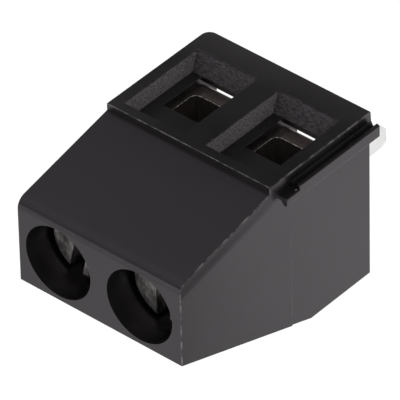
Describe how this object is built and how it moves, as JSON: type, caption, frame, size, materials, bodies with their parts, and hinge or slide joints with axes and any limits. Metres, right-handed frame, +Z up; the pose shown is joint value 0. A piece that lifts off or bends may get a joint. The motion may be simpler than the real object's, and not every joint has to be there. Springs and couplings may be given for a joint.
{
  "type": "pcb screw terminal",
  "caption": "Black moulded screw terminal for circuit boards: wires enter the front, slotted screws in the top draw up clamps, solder pins stand below, and a side tongue joins blocks in a row.",
  "frame": {"origin": "middle of the housing's board-side face, which seats on the circuit board", "axes": "+X along the row of poles, -Y towards the incoming wires, +Z up out of the board towards the screws"},
  "size_m": [0.0107, 0.01, 0.0178],
  "materials": {
    "housing": "moulded, satin, fine eroded texture in the wire entries",
    "screw": "zinc plated steel",
    "clamp": "nickel plated",
    "contact": "tin plated"
  },
  "bodies": {
    "block": {"housing": "housing", "contact_1": "contact", "contact_2": "contact"},
    "screw_1": {"screw_1": "screw"},
    "screw_2": {"screw_2": "screw"},
    "clamp_1": {"clamp_1": "clamp"},
    "clamp_2": {"clamp_2": "clamp"}
  },
  "joints": [
    {"name": "screw_1_turn", "type": "hinge", "parent": "block", "child": "screw_1", "pos_m": [-0.00249, -0.00057, 0.01095], "axis": [0, 0, -1], "range_deg": [-505, 1477]},
    {"name": "screw_2_turn", "type": "hinge", "parent": "block", "child": "screw_2", "pos_m": [0.00259, -0.00057, 0.01095], "axis": [0, 0, -1], "range_deg": [-505, 1477]},
    {"name": "clamp_1_lift", "type": "slide", "parent": "block", "child": "clamp_1", "axis": [0, 0, 1], "range_m": [-0.0007, 0.00205]},
    {"name": "clamp_2_lift", "type": "slide", "parent": "block", "child": "clamp_2", "axis": [0, 0, 1], "range_m": [-0.0007, 0.00205]}
  ],
  "couplings": [
    {"joint": "screw_1_turn", "follows": "clamp_1_lift", "rad_per_m": 12566},
    {"joint": "screw_2_turn", "follows": "clamp_2_lift", "rad_per_m": 12566}
  ]
}
